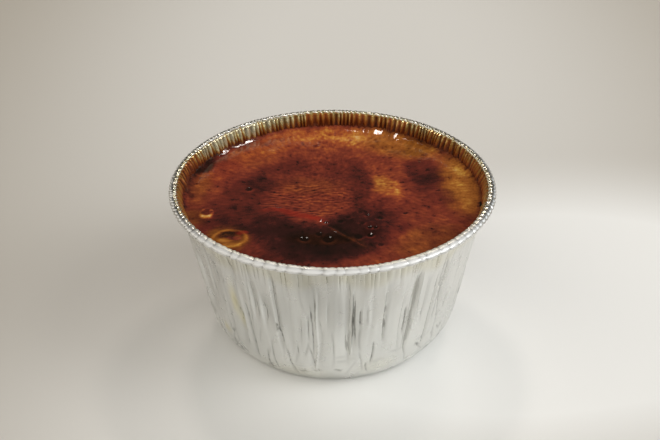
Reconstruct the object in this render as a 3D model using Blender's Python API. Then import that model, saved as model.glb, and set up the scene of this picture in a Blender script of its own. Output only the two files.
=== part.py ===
"""Creme brulee baked in a crinkled foil cup: the cup with its rolled rim and pleated wall, and the creme that
fills it to just under the rim, with a gently swelling top that climbs the foil and holds two burst blisters.

Units are metres, +Z is up, and the origin is the centre of the cup's flat base, on the table.
"""

import math
import random

import bmesh
import bpy

MM = 0.001

# Foil cup: driving dimensions
CUP_HEIGHT = 43.0 * MM
RIM_RADIUS = 42.5 * MM
BASE_RADIUS = 28.4 * MM
WALL_TAPER = 0.205
WALL_FOOT_RADIUS = 32.05 * MM
FOOT_HEIGHT = 9.0 * MM
FOOT_STEPS = 3
FOOT_CROWDING = 1.6
FOIL = 0.5 * MM

# Rolled rim: a flattened curl of foil, wider than it is high
CURL_WIDTH = 2.35 * MM
CURL_HEIGHT = 1.55 * MM
CURL_TURN = (-120, -60, 0, 45, 90, 135)
CRIMP_DEPTH = 0.12 * MM

# Pleats in the wall, counted in each quarter so that the four sides reach equally far
PLEATS_PER_QUARTER = 16
PLEAT_DEPTH = 1.25 * MM
PLEAT_FADE = 0.8
PLEAT_SECTION = (0.0, 0.55, 1.0)
PLEAT_LEAN = math.radians(2.4)
PLEAT_SEED = 7

# Creme: its level below the rim, how it climbs the foil, and the rings that its top is made of
LEVEL_BELOW_RIM = 4.9 * MM
CLIMB_HEIGHT = 0.65 * MM
CLIMB_WIDTH = 2.0 * MM
CLIMB_SHARES = (0.25, 0.5, 1.0)
TOP_RINGS = 5
CREME_SIDES = 96
GAP = 0.3 * MM

# Long, low swells of the top, where the skin rose and sank in the oven:
# height, wave length, and the direction that the wave runs in
SWELLS = (
    (0.16 * MM, 41.0 * MM, math.radians(25)),
    (0.11 * MM, 26.0 * MM, math.radians(-50)),
    (0.08 * MM, 17.0 * MM, math.radians(80)),
)

# Burst blisters in the browned top: name, place across and away, radius
BLISTERS = (
    ("blister_large", -25.4 * MM, -20.1 * MM, 3.8 * MM),
    ("blister_small", -31.8 * MM, -8.6 * MM, 1.7 * MM),
)
BLISTER_FLATNESS = 0.24
BLISTER_RISE = 0.12 * MM

HALF_HEIGHT = CUP_HEIGHT / 2
LEVEL = CUP_HEIGHT - LEVEL_BELOW_RIM
CURL_CENTRE_RADIUS = RIM_RADIUS - CURL_WIDTH / 2
CURL_CENTRE_HEIGHT = CUP_HEIGHT - CURL_HEIGHT / 2


def clear_scene():
    for obj in list(bpy.data.objects):
        bpy.data.objects.remove(obj)


def make_material(name, colour, roughness, metallic, coat=0.0):
    """A Principled material with one colour over the whole piece."""
    material = bpy.data.materials.new(name)
    material.use_nodes = True
    shader = material.node_tree.nodes["Principled BSDF"]
    shader.inputs["Base Color"].default_value = (*colour, 1.0)
    shader.inputs["Roughness"].default_value = roughness
    shader.inputs["Metallic"].default_value = metallic
    shader.inputs["Coat Weight"].default_value = coat
    return material


def wall_radius(height):
    """Outer radius of the wall at its pleats' crests: a straight taper that rounds in to the base."""
    taper = WALL_FOOT_RADIUS + WALL_TAPER * height
    if height >= FOOT_HEIGHT:
        return taper
    return taper - (WALL_FOOT_RADIUS - BASE_RADIUS) * (1 - height / FOOT_HEIGHT) ** 2


def pleat_depth(height):
    """Depth of the pleats: none at the base's edge, where the sheet is flat, and full at mid wall."""
    return PLEAT_DEPTH * min(1.0, height / HALF_HEIGHT) ** PLEAT_FADE


def foot_heights():
    """Heights of the rings that round the wall in to the base, closer together where it turns most."""
    return [FOOT_HEIGHT * (step / FOOT_STEPS) ** FOOT_CROWDING for step in range(FOOT_STEPS)]


def pleat_stations():
    """(angle, fold, lean) of each line up the wall. Fold is 0 on a crest and up to 1 in a valley.

    Pressed foil pleats unevenly, so each pleat gets its own width, depth and lean from the seed, and each one
    swells slowly and drops back at once, as a fold that lies over its neighbour does.
    """
    draw = random.Random(PLEAT_SEED)
    stations = []
    for quarter in range(4):
        widths = [draw.uniform(0.7, 1.3) for _ in range(PLEATS_PER_QUARTER)]
        to_angle = math.pi / 2 / sum(widths)
        start = quarter * math.pi / 2
        for width in widths:
            span = width * to_angle
            depth = draw.uniform(0.55, 1.0)
            lean = draw.uniform(-0.5, 0.5) * PLEAT_LEAN
            for step, fold in enumerate(PLEAT_SECTION):
                stations.append((start + span * step / len(PLEAT_SECTION), fold * depth, lean))
            start += span
    return stations


def cup_rows():
    """(radius, height, pleat depth) of each ring, from the base up the outside, over the rim and down inside."""
    base, *foot = foot_heights()
    curl_foot = CUP_HEIGHT - CURL_HEIGHT
    outer_heights = (base, *foot, FOOT_HEIGHT, HALF_HEIGHT, curl_foot)
    rows = [(wall_radius(z), z, pleat_depth(z)) for z in outer_heights]
    for turn in CURL_TURN:
        radius = CURL_CENTRE_RADIUS + CURL_WIDTH / 2 * math.cos(math.radians(turn))
        height = CURL_CENTRE_HEIGHT + CURL_HEIGHT / 2 * math.sin(math.radians(turn))
        rows.append((radius, height, CRIMP_DEPTH))
    inner_heights = (LEVEL, HALF_HEIGHT, FOOT_HEIGHT, *reversed(foot), FOIL)
    rows += [(wall_radius(z) - FOIL, z, pleat_depth(z)) for z in inner_heights]
    return rows


def creme_radius(height):
    """Radius of the creme's side, which stays just clear of the deepest pleats."""
    return wall_radius(height) - FOIL - pleat_depth(height) - GAP


def creme_rows():
    """(radius, height) of each ring of the creme, from its floor up the side and in over its top."""
    edge = LEVEL + CLIMB_HEIGHT
    heights = (FOIL + GAP, foot_heights()[-1], FOOT_HEIGHT, HALF_HEIGHT, LEVEL, edge)
    rows = [(creme_radius(z), z) for z in heights]
    for share in CLIMB_SHARES:
        rows.append((creme_radius(edge) - CLIMB_WIDTH * share, LEVEL + CLIMB_HEIGHT * (1 - share) ** 2))
    flat_radius = rows[-1][0]
    rows += [(flat_radius * (1 - ring / TOP_RINGS), LEVEL) for ring in range(1, TOP_RINGS)]
    return rows


def top_swell(x, y):
    """How far the creme's top stands above its level at a place. It fades out over the edge that climbs."""
    to_edge = creme_radius(LEVEL) - math.hypot(x, y)
    fade = min(1.0, max(0.0, to_edge / CLIMB_WIDTH))
    lift = 0.0
    for height, length, heading in SWELLS:
        along = x * math.cos(heading) + y * math.sin(heading)
        lift += height * math.sin(2 * math.pi * along / length)
    return lift * fade


def build_shell(name, rings, material):
    """A closed solid through rings of points, each ring joined to the next and both ends closed to a centre."""
    shape = bmesh.new()
    loops = [[shape.verts.new(point) for point in ring] for ring in rings]
    count = len(rings[0])
    for low, high in zip(loops, loops[1:]):
        for i in range(count):
            j = (i + 1) % count
            shape.faces.new((low[i], low[j], high[j], high[i]))
    for loop, facing in ((loops[0], -1), (loops[-1], 1)):
        centre = shape.verts.new((0.0, 0.0, loop[0].co.z))
        for i in range(count):
            corner, following = loop[i], loop[(i + 1) % count]
            shape.faces.new((centre, corner, following)[::facing])
    mesh = bpy.data.meshes.new(name)
    shape.to_mesh(mesh)
    shape.free()
    mesh.materials.append(material)
    obj = bpy.data.objects.new(name, mesh)
    bpy.context.scene.collection.objects.link(obj)
    return obj


def ring_of(radius, height, angles):
    return [(radius * math.cos(a), radius * math.sin(a), height) for a in angles]


def make_foil_cup():
    foil = make_material("pressed_aluminium_foil", (0.80, 0.79, 0.76), 0.30, 1.0)
    stations = pleat_stations()
    rings = []
    for radius, height, depth in cup_rows():
        points = []
        for angle, fold, lean in stations:
            reach = radius - depth * fold
            turn = angle + lean * (height / CUP_HEIGHT - 0.5)
            points.append((reach * math.cos(turn), reach * math.sin(turn), height))
        rings.append(points)
    return build_shell("foil_cup", rings, foil)


def make_creme():
    glaze = make_material("browned_creme", (0.17, 0.045, 0.012), 0.18, 0.0, coat=1.0)
    angles = [2 * math.pi * i / CREME_SIDES for i in range(CREME_SIDES)]
    creme = build_shell("creme", [ring_of(r, z, angles) for r, z in creme_rows()], glaze)
    for vertex in creme.data.vertices:
        if vertex.co.z >= LEVEL:
            vertex.co.z += top_swell(vertex.co.x, vertex.co.y)
    creme.data.shade_smooth()
    creme.data.set_sharp_from_angle(angle=math.radians(40))
    for name, x, y, radius in BLISTERS:
        cut = creme.modifiers.new(name, "BOOLEAN")
        cut.operation = "DIFFERENCE"
        cut.object = make_blister_cutter(name, x, y, radius)
    return creme


def make_blister_cutter(name, x, y, radius):
    """A flattened ball that leaves a shallow round crater where a bubble has burst."""
    shape = bmesh.new()
    bmesh.ops.create_uvsphere(shape, u_segments=20, v_segments=12, radius=radius)
    bmesh.ops.scale(shape, verts=shape.verts, vec=(1.0, 1.0, BLISTER_FLATNESS))
    mesh = bpy.data.meshes.new(name)
    shape.to_mesh(mesh)
    shape.free()
    cutter = bpy.data.objects.new(name, mesh)
    cutter.location = (x, y, LEVEL + top_swell(x, y) + BLISTER_RISE)
    cutter.hide_render = True
    cutter.display_type = "WIRE"
    bpy.context.scene.collection.objects.link(cutter)
    return cutter


def main():
    clear_scene()
    make_foil_cup()
    make_creme()


main()
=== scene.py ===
"""Looks of a creme brulee baked in a foil cup.

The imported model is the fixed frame. Three pieces stand for its solids: the pleated wall of the foil cup, the
cup's rolled rim, and the creme with its caramelised top. Distances are in metres, and in millimetres where a
comment says so.
"""

import math
import random

import bpy
import numpy as np
from mathutils import Matrix, Vector


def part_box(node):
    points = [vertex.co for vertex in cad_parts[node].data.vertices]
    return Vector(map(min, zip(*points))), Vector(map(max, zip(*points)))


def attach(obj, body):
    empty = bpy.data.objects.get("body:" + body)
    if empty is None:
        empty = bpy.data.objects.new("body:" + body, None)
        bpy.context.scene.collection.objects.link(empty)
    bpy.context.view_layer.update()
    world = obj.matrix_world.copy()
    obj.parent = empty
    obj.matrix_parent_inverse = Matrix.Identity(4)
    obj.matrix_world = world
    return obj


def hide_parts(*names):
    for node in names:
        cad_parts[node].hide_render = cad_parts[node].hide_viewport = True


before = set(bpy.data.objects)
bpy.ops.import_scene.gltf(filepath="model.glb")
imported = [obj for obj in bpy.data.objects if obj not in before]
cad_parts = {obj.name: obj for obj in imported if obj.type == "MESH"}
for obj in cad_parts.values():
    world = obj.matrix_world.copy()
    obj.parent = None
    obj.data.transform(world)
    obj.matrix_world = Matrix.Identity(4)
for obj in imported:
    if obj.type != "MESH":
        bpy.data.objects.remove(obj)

bl_info = {
    "name": "Creme Brulee in a Foil Cup",
    "version": (1, 0, 0),
    "blender": (4, 5, 0),
    "location": "View3D > Sidebar > Creme Brulee",
    "description": "Dresses a baked creme in its crinkled foil cup and sets a plain studio round it",
    "category": "Object",
}

MM = 0.001
FULL_TURN = 2 * math.pi
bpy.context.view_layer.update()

# Sizes taken from the frame
CUP_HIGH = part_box("foil_cup")[1]
CREME_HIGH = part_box("creme")[1]
RIM_RADIUS = CUP_HIGH.x
CUP_HEIGHT = CUP_HIGH.z

# The cup's section, as shares of its rim radius and height
BASE_RADIUS = 0.668 * RIM_RADIUS
WALL_FOOT_RADIUS = 0.754 * RIM_RADIUS
FOOT_HEIGHT = 0.209 * CUP_HEIGHT
WALL_TAPER = 0.205
BASE_ROUNDING = 0.8 * MM

# The rolled rim's section
CURL_WIDTH = 2.5 * MM
CURL_HEIGHT = 1.3 * MM
CURL_DROOP = math.radians(25)
CURL_OUT = math.hypot(CURL_WIDTH * math.cos(CURL_DROOP), CURL_HEIGHT * math.sin(CURL_DROOP)) / 2
CURL_UP = math.hypot(CURL_WIDTH * math.sin(CURL_DROOP), CURL_HEIGHT * math.cos(CURL_DROOP)) / 2
CURL_RADIUS = RIM_RADIUS - CURL_OUT
CURL_CENTRE = CUP_HEIGHT - CURL_UP
CURL_SIDES = 16

# The creme's level and how far it climbs the foil
CLIMB = 0.65 * MM
LEVEL = CREME_HIGH.z - CLIMB

# Rings of the creme's hidden side, and how far inside the wall it stays
BODY_HEIGHTS = tuple(z * MM for z in (37.2, 36.0, 22.0, 9.0, 4.0, 0.9))
CLEAR_OF_FOLDS = 3.4 * MM

# Mesh columns across one crimp, as shares of its width: the first lies in the fold, the others on its back
CRIMP_COLUMNS = (0.0, 0.13, 0.32, 0.5, 0.68, 0.87)


def linear(code):
    """A colour's linear values from its sRGB hex code."""
    channels = [int(code[i : i + 2], 16) / 255 for i in (1, 3, 5)]
    return tuple(c / 12.92 if c <= 0.04045 else ((c + 0.055) / 1.055) ** 2.4 for c in channels)


def smooth(share):
    """Eases a share from 0 to 1, level at both ends."""
    share = np.clip(share, 0.0, 1.0)
    return share * share * (3 - 2 * share)


def rise(value, start, reach):
    """Eases from 0 at the start to 1 a reach past it. A reach below 0 eases from 1 down to 0 instead."""
    return smooth((value - start) / reach)


def bell(away):
    """One at the middle, and falling off to 0.37 at a distance of one on both sides."""
    return np.exp(-(away**2))


def mix(ends, share):
    """A value between two ends: the first at a share of 0, the second at 1."""
    return ends[0] + (ends[1] - ends[0]) * share


def turn_from(middle, angle):
    """How far each angle is round from a middle one, from minus half a turn to half a turn."""
    return (angle - middle + math.pi) % FULL_TURN - math.pi


def waves(parts, angle, height=0.0):
    """Adds up waves round the cup: amount, how many go round, turn for each metre of height, phase."""
    total = 0.0
    for amount, number, turn, phase in parts:
        total = total + amount * np.sin(number * angle + turn * height + phase)
    return total


# ---------------------------------------------------------------- settings

# What every colour setting shares
COLOUR = {"subtype": "COLOR", "size": 3, "min": 0.0, "max": 1.0}


class FoilSettings(bpy.types.PropertyGroup):
    """Sizes and colours of the foil cup."""

    thickness: bpy.props.FloatProperty(
        name="Foil thickness",
        description="Thickness of the cup's wall, heavier than real foil so that both sides stay apart",
        default=0.2 * MM,
        min=0.05 * MM,
        unit="LENGTH",
    )
    crimps: bpy.props.IntProperty(
        name="Crimps round the rim",
        description="Fine pleats that the press leaves round the rim",
        default=180,
        min=40,
    )
    crimp_depth: bpy.props.FloatProperty(
        name="Crimp depth",
        description="Depth of the fine pleats just under the rim",
        default=0.35 * MM,
        unit="LENGTH",
    )
    pleat_depth: bpy.props.FloatProperty(
        name="Pleat depth",
        description="Depth of the soft pleats that run on down the wall",
        default=1.4 * MM,
        unit="LENGTH",
    )
    ripple_depth: bpy.props.FloatProperty(
        name="Ripple depth",
        description="Depth of the fine upright ripples of the wall",
        default=0.13 * MM,
        unit="LENGTH",
    )
    creases: bpy.props.IntProperty(
        name="Creases",
        description="Sharp creases of their own, anywhere on the wall",
        default=130,
        min=0,
    )
    crease_depth: bpy.props.FloatProperty(
        name="Crease depth",
        description="Depth of the deepest sharp creases",
        default=0.42 * MM,
        unit="LENGTH",
    )
    seed: bpy.props.IntProperty(
        name="Fold seed",
        description="Another number folds the foil another way",
        default=11,
    )
    metal: bpy.props.FloatVectorProperty(
        name="Foil",
        description="Colour of clean aluminium foil",
        default=linear("#E3E3E0"),
        **COLOUR,
    )


class CremeSettings(bpy.types.PropertyGroup):
    """Sizes and colours of the creme."""

    cells: bpy.props.IntProperty(
        name="Cells across",
        description="Mesh cells across the creme's top",
        default=284,
        min=40,
    )
    blister_depth: bpy.props.FloatProperty(
        name="Blister depth",
        description="Depth of the large burst blister",
        default=0.16 * MM,
        unit="LENGTH",
    )
    custard: bpy.props.FloatVectorProperty(
        name="Custard",
        description="Where the sugar skin has torn and the custard shows",
        default=linear("#E2C48C"),
        **COLOUR,
    )
    burnt: bpy.props.FloatVectorProperty(
        name="Burnt sugar",
        description="The darkest, most burnt places",
        default=linear("#1D120C"),
        **COLOUR,
    )


class StageSettings(bpy.types.PropertyGroup):
    """The plain studio round the cup."""

    floor: bpy.props.FloatVectorProperty(
        name="Floor",
        description="Colour of the floor's paper where it is least white",
        default=linear("#AFA89B"),
        **COLOUR,
    )
    room_strength: bpy.props.FloatProperty(
        name="Room",
        description="Brightness of the room round the cup",
        default=1.24,
        min=0.0,
    )
    panel_power: bpy.props.FloatProperty(
        name="Side panel",
        description="Power of the wide panel at the right, in watts",
        default=8.5,
        min=0.0,
    )
    lamp_power: bpy.props.FloatProperty(
        name="Lamps",
        description="Power of each of the two small ceiling lamps, in watts",
        default=1.1,
        min=0.0,
    )


# ---------------------------------------------------------------- modelling helpers


def start_clean():
    """Leaves edit mode and selects nothing, so that the next tool touches only what it makes."""
    if bpy.context.mode != "OBJECT":
        bpy.ops.object.mode_set(mode="OBJECT")
    bpy.ops.object.select_all(action="DESELECT")


def settle(name):
    """Names the active object and puts its place, turn and scale into its mesh."""
    obj = bpy.context.object
    obj.name = name
    obj.data.name = name
    bpy.ops.object.transform_apply(location=True, rotation=True, scale=True)
    return obj


def places_of(obj):
    """The mesh's points as an array with one row each."""
    flat = np.empty(len(obj.data.vertices) * 3)
    obj.data.vertices.foreach_get("co", flat)
    return flat.reshape(-1, 3)


def round_places(obj):
    """The mesh's points with the radius and angle of each."""
    places = places_of(obj)
    return places, np.hypot(places[:, 0], places[:, 1]), np.arctan2(places[:, 1], places[:, 0])


def place_all(obj, places):
    """Moves every point of the mesh to its new place."""
    obj.data.vertices.foreach_set("co", places.astype(np.float32).ravel())
    obj.data.update()


def paint(obj, name, values):
    """Stores one number for each point, for the material to read."""
    attribute = obj.data.attributes.new(name, "FLOAT", "POINT")
    attribute.data.foreach_set("value", np.asarray(values, np.float32))


def dress(obj, material, slot, *nodes):
    """Gives a finished piece its material and its place in the frame."""
    obj.data.materials.clear()
    obj.data.materials.append(material)
    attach(obj, "root")
    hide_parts(*nodes)


def raise_rings(first, profile):
    """Extrudes the selected ring of edges from the first (radius, height) through a profile of more."""
    radius, height = first
    for next_radius, next_height in profile:
        grow = next_radius / radius
        lift = (0.0, 0.0, next_height - height)
        bpy.ops.mesh.extrude_region_move(TRANSFORM_OT_translate={"value": lift})
        bpy.ops.transform.resize(value=(grow, grow, 1.0), center_override=(0.0, 0.0, 0.0))
        radius, height = next_radius, next_height


def edit_border():
    """Goes to edit mode with the open edges of the active mesh selected."""
    bpy.ops.object.mode_set(mode="EDIT")
    bpy.ops.mesh.select_mode(type="EDGE")
    bpy.ops.mesh.select_all(action="DESELECT")
    bpy.ops.mesh.select_non_manifold()


def start_ring(name, radius, height, sides, fill):
    """A circle in edit mode with its outer edges selected, ready to be extruded."""
    start_clean()
    middle = (0.0, 0.0, height)
    bpy.ops.mesh.primitive_circle_add(vertices=sides, radius=radius, fill_type=fill, location=middle)
    obj = settle(name)
    edit_border()
    return obj


def finish_skin():
    """Turns every face outward and leaves edit mode."""
    bpy.ops.mesh.select_all(action="SELECT")
    bpy.ops.mesh.normals_make_consistent(inside=False)
    bpy.ops.object.mode_set(mode="OBJECT")


def ring_stack(name, profile, sides):
    """A closed skin built ring by ring along a profile of (radius, height), from centre to centre."""
    obj = start_ring(name, *profile[0], sides, "TRIFAN")
    raise_rings(profile[0], profile[1:])
    bpy.ops.mesh.extrude_region_move(TRANSFORM_OT_translate={"value": (0.0, 0.0, 0.0)})
    bpy.ops.mesh.merge(type="CENTER")
    finish_skin()
    return obj


def ring_loop(name, profile, sides):
    """A closed ring whose section is the closed profile of (radius, height)."""
    obj = start_ring(name, *profile[0], sides, "NOTHING")
    raise_rings(profile[0], (*profile[1:], profile[0]))
    bpy.ops.mesh.select_all(action="SELECT")
    bpy.ops.mesh.remove_doubles(threshold=0.001 * MM)
    finish_skin()
    return obj


# ---------------------------------------------------------------- how the foil is folded


def wall_radius(height):
    """Outer radius of the wall over its pleats: a straight taper that rounds in to the base."""
    taper = WALL_FOOT_RADIUS + WALL_TAPER * height
    low = np.clip(1 - height / FOOT_HEIGHT, 0.0, None)
    return taper - (WALL_FOOT_RADIUS - BASE_RADIUS) * low**2


# Creases of the front of the wall that stand out: angle in degrees, lowest and highest point in mm,
# sideways lean in mm for each mm up, depth as a share of the deepest
FRONT_CREASES = (
    (-132, 16, 26, -0.15, 0.6),
    (-130, 14, 22, -0.32, 0.5),
    (-122, 12, 19, 0.18, 0.4),
    (-117, 21, 27, 0.00, 0.5),
    (-117, 4, 14, -0.08, 0.7),
    (-121, 1, 6, 0.26, 0.8),
    (-112, 15, 22, -0.22, 1.0),
    (-109, 2, 15, -0.14, 0.7),
    (-100, 16, 27, 0.03, 0.45),
    (-101, 11, 17, 0.23, 0.6),
    (-99, 7, 16, -0.18, 0.7),
    (-95, 18, 26, -0.10, 0.5),
    (-90, 6, 22, -0.02, 0.65),
    (-83, 18, 28, 0.05, 0.25),
    (-79.6, 21, 29, 0.00, 0.75),
    (-79.6, 12, 23, -0.02, 0.6),
    (-78, 4, 14, -0.17, 0.6),
    (-77, 22, 29, -0.05, 0.5),
    (-69, 14, 26, 0.02, 0.8),
    (-59, 14, 30, 0.02, 0.85),
    (-52, 16, 34, 0.05, 0.45),
    (-44, 15, 33, 0.05, 0.7),
    (-37, 17, 23, 0.00, 0.7),
)

# Level wrinkles low on the wall: angle in degrees, height in mm, half length in mm, depth as a share
LEVEL_CREASES = (
    (-151, 8, 2.5, 0.6),
    (-136, 6, 3.0, 0.6),
    (-121, 3.5, 2.0, 0.8),
    (-104, 5.0, 1.6, 0.9),
    (-97, 6.0, 1.6, 0.7),
    (-88, 6.3, 1.4, 1.0),
    (-85, 10.0, 4.0, 0.35),
    (-84, 11.5, 5.0, 0.3),
    (-72, 8.5, 4.0, 0.3),
    (-62, 10.5, 3.5, 0.4),
    (-50, 9.3, 1.8, 1.0),
    (-48, 11.5, 3.0, 0.5),
    (-36, 11.0, 1.6, 1.0),
    (-30, 13.0, 1.5, 0.7),
    (20, 8, 2.0, 0.8),
    (75, 10, 3.0, 0.6),
    (110, 6, 2.0, 0.9),
    (160, 9, 2.5, 0.7),
)

# Sugar that ran over the outside: angle in degrees, height, half width and half height in mm, how thick
OUTER_SPLASHES = (
    (-133, 24, 0.9, 4.5, 0.16),
    (-131, 18, 0.8, 3.0, 0.13),
    (-144, 11, 1.3, 1.3, 0.14),
    (-70, 6, 5.0, 3.0, 0.03),
    (-108, 4, 9.0, 3.0, 0.03),
)

# How the folds are drawn, as lowest and highest: widths of the crimps against each other, how deep and how
# askew each crimp is, how deep each pillow of the rim is, and how deep each pleat is, all as shares
CRIMP_WIDTHS = (0.55, 1.5)
CRIMP_SIZES = (0.35, 1.0)
MEAN_CRIMP_SIZE = 0.68
CRIMP_LEANS = (-0.6, 0.6)
PILLOW_SIZES = (0.5, 1.0)
PLEAT_SIZES = (0.15, 1.0)

# How many crimps one pillow of the rim and one pleat of the wall cover, drawn from these
PILLOW_CRIMPS = (2, 2, 3)
PLEAT_CRIMPS = (1, 2, 2, 3, 3, 4)

# Where a pleat peaks, as a share of its width: near one side or near the other. Its lowest and highest
# point in mm
PLEAT_PEAKS = ((0.1, 0.3), (0.7, 0.9))
PLEAT_LOW = (1, 20)
PLEAT_HIGH = (27, 41)
PLEAT_HEAD = 3 * MM
PLEAT_FADE = 8 * MM
PLEAT_FULL_WIDTH = 4 * MM
PLEAT_ROUNDING = 0.35

# Sharp creases: the share that is low on the wall, then for those and for the others the range of the
# middle's height and of the length in mm, and the spread of the lean
LOW_CREASES = 0.42
LOW_CREASE = ((4, 14), (4, 11), 0.26)
HIGH_CREASE = ((13, 33), (7, 24), 0.06)

# How much a crease bends and the range of its half width, in mm, for those and for the ones at the front.
# Then the step across it, how far the step reaches, and room left for steps outwards
FREE_BEND = (0.4, (0.20, 0.42))
FRONT_BEND = (0.25, (0.22, 0.34))
CREASE_STEP = 0.16 * MM
CREASE_STEP_REACH = 1.1 * MM
CREASE_ROOM = 0.12 * MM

# Fine upright ripples: how many waves there are, and for each of them the range of how many go round, of the
# turn for each mm of height, of its amount, and of how many stretches round the cup have it. Then where they
# start at the foot and where half of them ends, and over how much height
RIPPLES = 14
RIPPLE_NUMBERS = (48, 150)
RIPPLE_DRIFT = (-0.14, 0.14)
RIPPLE_AMOUNT = (0.4, 1.0)
RIPPLE_GATES = (3, 9)
RIPPLES_START = (3 * MM, 9 * MM)
RIPPLES_END = (34 * MM, 6 * MM)

# Waves round the cup: amount, how many go round, turn for each metre of height, phase
WANDER = (
    (0.020, 9, 0, 0.7),
    (0.012, 17, 0, 2.1),
    (0.006, 31, 0, 4.0),
    (0.006, 13, 260, 0),
    (0.004, 29, -420, 0),
)
DENTS = ((0.5, 5, 90, 0), (0.4, 8, -130, 1.0), (0.35, 14, 170, 2.0), (0.25, 23, -240, 0.4))
WRINKLE_BENDS = ((1.9, 7, 0, 0), (1.3, 23, 0, 1.0), (0.8, 41, 0, 0))
DENT_DEPTH = 0.10 * MM
WRINKLE_DEPTH = 0.16 * MM
WRINKLE_MIDDLE = 6.5 * MM
WRINKLE_REACH = 4.0 * MM

# How much painted shade the hollows, the wrinkles of the foot and the band under the rim get, against a crease
HOLLOW_DARK = 0.32
WRINKLE_DARK = 0.35
UNDER_RIM_DARK = 0.10

# Where the fine pleats start and over how much height they come in, and where the rim's curl flattens them
# again: on the outside, and on the inside between the creme and the rim, where they are deeper
OUTER_CRIMPS = (32 * MM, 8 * MM)
OUTER_CRIMPS_END = (39.5 * MM, 2 * MM)
INNER_CRIMPS = (LEVEL - 0.3 * MM, 2 * MM)
INNER_CRIMPS_END = (40.8 * MM, 1.4 * MM)
INNER_CRIMP_DEPTH = 0.75 * MM

# The band under the rim that gets painted shade from the rim's curl: its lower edge, how that waves, over how
# much height it starts, and how much sugar is on it
BAND_EDGE = 34.5 * MM
BAND_WAVES = ((1.2 * MM, 13, 0, 0),)
BAND_FADE = 3.5 * MM
BAND_FILM = 0.05

# The patches of painted shade at the front: the angle of their middle, how far they reach round in mm, and
# where they get stronger up the wall
FRONT_SHADE_MIDDLE = math.radians(-93)
FRONT_SHADE_REACH = 17
FRONT_SHADE_RISE = (14 * MM, 16 * MM)


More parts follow.
